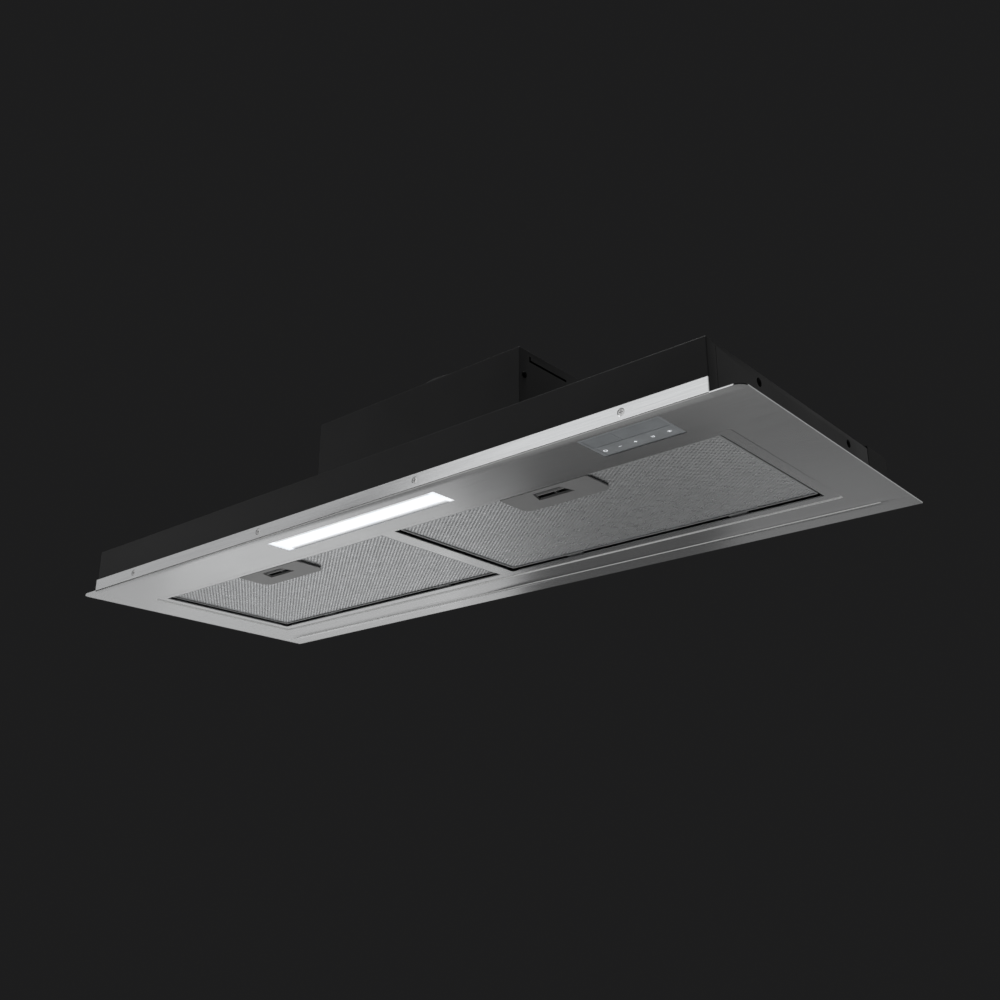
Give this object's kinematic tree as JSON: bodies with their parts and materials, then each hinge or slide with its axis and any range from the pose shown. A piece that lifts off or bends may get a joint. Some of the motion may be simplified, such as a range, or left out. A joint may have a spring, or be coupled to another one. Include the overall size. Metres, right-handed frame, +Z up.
{
  "type": "under cabinet range hood",
  "caption": "Under-cabinet range hood: flanged steel bottom panel with hinged mesh grease filters, light bar and push keys, below a low black body and a fan box with a round top outlet.",
  "frame": {"origin": "centre of the bottom panel's underside", "axes": "+X to the right seen from the front, +Y from the front edge to the back edge, +Z up towards the duct outlet"},
  "size_m": [0.9, 0.34, 0.2003],
  "materials": {
    "brushed_stainless": "long-grain brushed",
    "black_paint": "semi-matt powder coat",
    "zinc_steel": "zinc-plated",
    "filter_aluminium": "rolled, satin",
    "mesh_aluminium": "expanded mesh",
    "grey_plastic": "fine-grained",
    "black_plastic": "moulded, matt",
    "light_diffuser": "opal diffuser, lit",
    "fascia_grey": "satin-gloss",
    "key_grey": "satin-gloss",
    "indicator_glass": "clear glossy window, smoked",
    "circuit_board": "solder mask",
    "led_board_white": "white solder mask",
    "cream_plastic": "moulded",
    "motor_steel": "zinc-plated can on an iron core",
    "spring_steel": "bright spring wire"
  },
  "bodies": {
    "hood": {"bottom_panel": "brushed_stainless", "body_shell": "black_paint", "rear_spacer": "black_paint", "motor_box": "black_paint", "light_lens": "light_diffuser", "light_housing": "zinc_steel", "led_board": "led_board_white", "led_driver": "black_plastic", "control_fascia": "fascia_grey", "indicator_window": "indicator_glass", "control_housing": "black_plastic", "control_board": "circuit_board", "scroll_left": "black_plastic", "scroll_right": "black_plastic", "inlet_ring_left": "black_plastic", "inlet_ring_right": "black_plastic", "fan_motor": "motor_steel", "motor_bracket": "zinc_steel", "outlet_duct": "black_plastic", "outlet_collar": "black_plastic", "damper_pin": "spring_steel", "electronics_tray": "black_plastic", "electronics_lid": "black_plastic", "power_board": "circuit_board", "terminal_block": "cream_plastic", "run_capacitor": "cream_plastic", "cable_gland": "black_plastic", "lip_screw_1": "zinc_steel", "lip_screw_2": "zinc_steel", "lip_screw_3": "zinc_steel", "lip_screw_4": "zinc_steel"},
    "filter_left": {"filter_frame_left": "filter_aluminium", "filter_face_left": "mesh_aluminium", "filter_pack_left": "mesh_aluminium", "filter_handle_left": "grey_plastic", "latch_spring_left": "spring_steel"},
    "latch_left": {"latch_slide_left": "grey_plastic"},
    "filter_right": {"filter_frame_right": "filter_aluminium", "filter_face_right": "mesh_aluminium", "filter_pack_right": "mesh_aluminium", "filter_handle_right": "grey_plastic", "latch_spring_right": "spring_steel"},
    "latch_right": {"latch_slide_right": "grey_plastic"},
    "power_key": {"key_power": "key_grey"},
    "speed_down_key": {"key_speed_down": "key_grey"},
    "speed_up_key": {"key_speed_up": "key_grey"},
    "boost_key": {"key_boost": "key_grey"},
    "light_key": {"key_light": "key_grey"},
    "fan": {"fan_wheel": "black_plastic", "motor_shaft": "spring_steel"},
    "damper_front": {"damper_flap_front": "black_plastic"},
    "damper_rear": {"damper_flap_rear": "black_plastic"}
  },
  "joints": [
    {"name": "filter_left_hinge", "type": "hinge", "parent": "hood", "child": "filter_left", "pos_m": [-0.198, 0.089, 0.0045], "axis": [1, 0, 0], "range_deg": [0, 80]},
    {"name": "latch_left_slide", "type": "slide", "parent": "filter_left", "child": "latch_left", "axis": [0, 1, 0], "range_m": [0, 0.0045], "stiffness_N_per_m": 300, "springref_m": -0.004, "deforming": ["latch_spring_left"]},
    {"name": "filter_right_hinge", "type": "hinge", "parent": "hood", "child": "filter_right", "pos_m": [0.198, 0.089, 0.0045], "axis": [1, 0, 0], "range_deg": [0, 80]},
    {"name": "latch_right_slide", "type": "slide", "parent": "filter_right", "child": "latch_right", "axis": [0, 1, 0], "range_m": [0, 0.0045], "stiffness_N_per_m": 300, "springref_m": -0.004, "deforming": ["latch_spring_right"]},
    {"name": "power_key_press", "type": "slide", "parent": "hood", "child": "power_key", "axis": [0, 0, 1], "range_m": [0, 0.0015], "stiffness_N_per_m": 600, "springref_m": -0.0008},
    {"name": "speed_down_key_press", "type": "slide", "parent": "hood", "child": "speed_down_key", "axis": [0, 0, 1], "range_m": [0, 0.0015], "stiffness_N_per_m": 600, "springref_m": -0.0008},
    {"name": "speed_up_key_press", "type": "slide", "parent": "hood", "child": "speed_up_key", "axis": [0, 0, 1], "range_m": [0, 0.0015], "stiffness_N_per_m": 600, "springref_m": -0.0008},
    {"name": "boost_key_press", "type": "slide", "parent": "hood", "child": "boost_key", "axis": [0, 0, 1], "range_m": [0, 0.0015], "stiffness_N_per_m": 600, "springref_m": -0.0008},
    {"name": "light_key_press", "type": "slide", "parent": "hood", "child": "light_key", "axis": [0, 0, 1], "range_m": [0, 0.0015], "stiffness_N_per_m": 600, "springref_m": -0.0008},
    {"name": "fan_spin", "type": "hinge", "parent": "hood", "child": "fan", "pos_m": [0, 0.00383, 0.09424], "axis": [1, 0, 0], "continuous": true},
    {"name": "damper_front_hinge", "type": "hinge", "parent": "hood", "child": "damper_front", "pos_m": [0, 0.0295, 0.1806], "axis": [-1, 0, 0], "range_deg": [0, 75]},
    {"name": "damper_rear_hinge", "type": "hinge", "parent": "hood", "child": "damper_rear", "pos_m": [0, 0.0295, 0.1806], "axis": [1, 0, 0], "range_deg": [0, 75]}
  ]
}
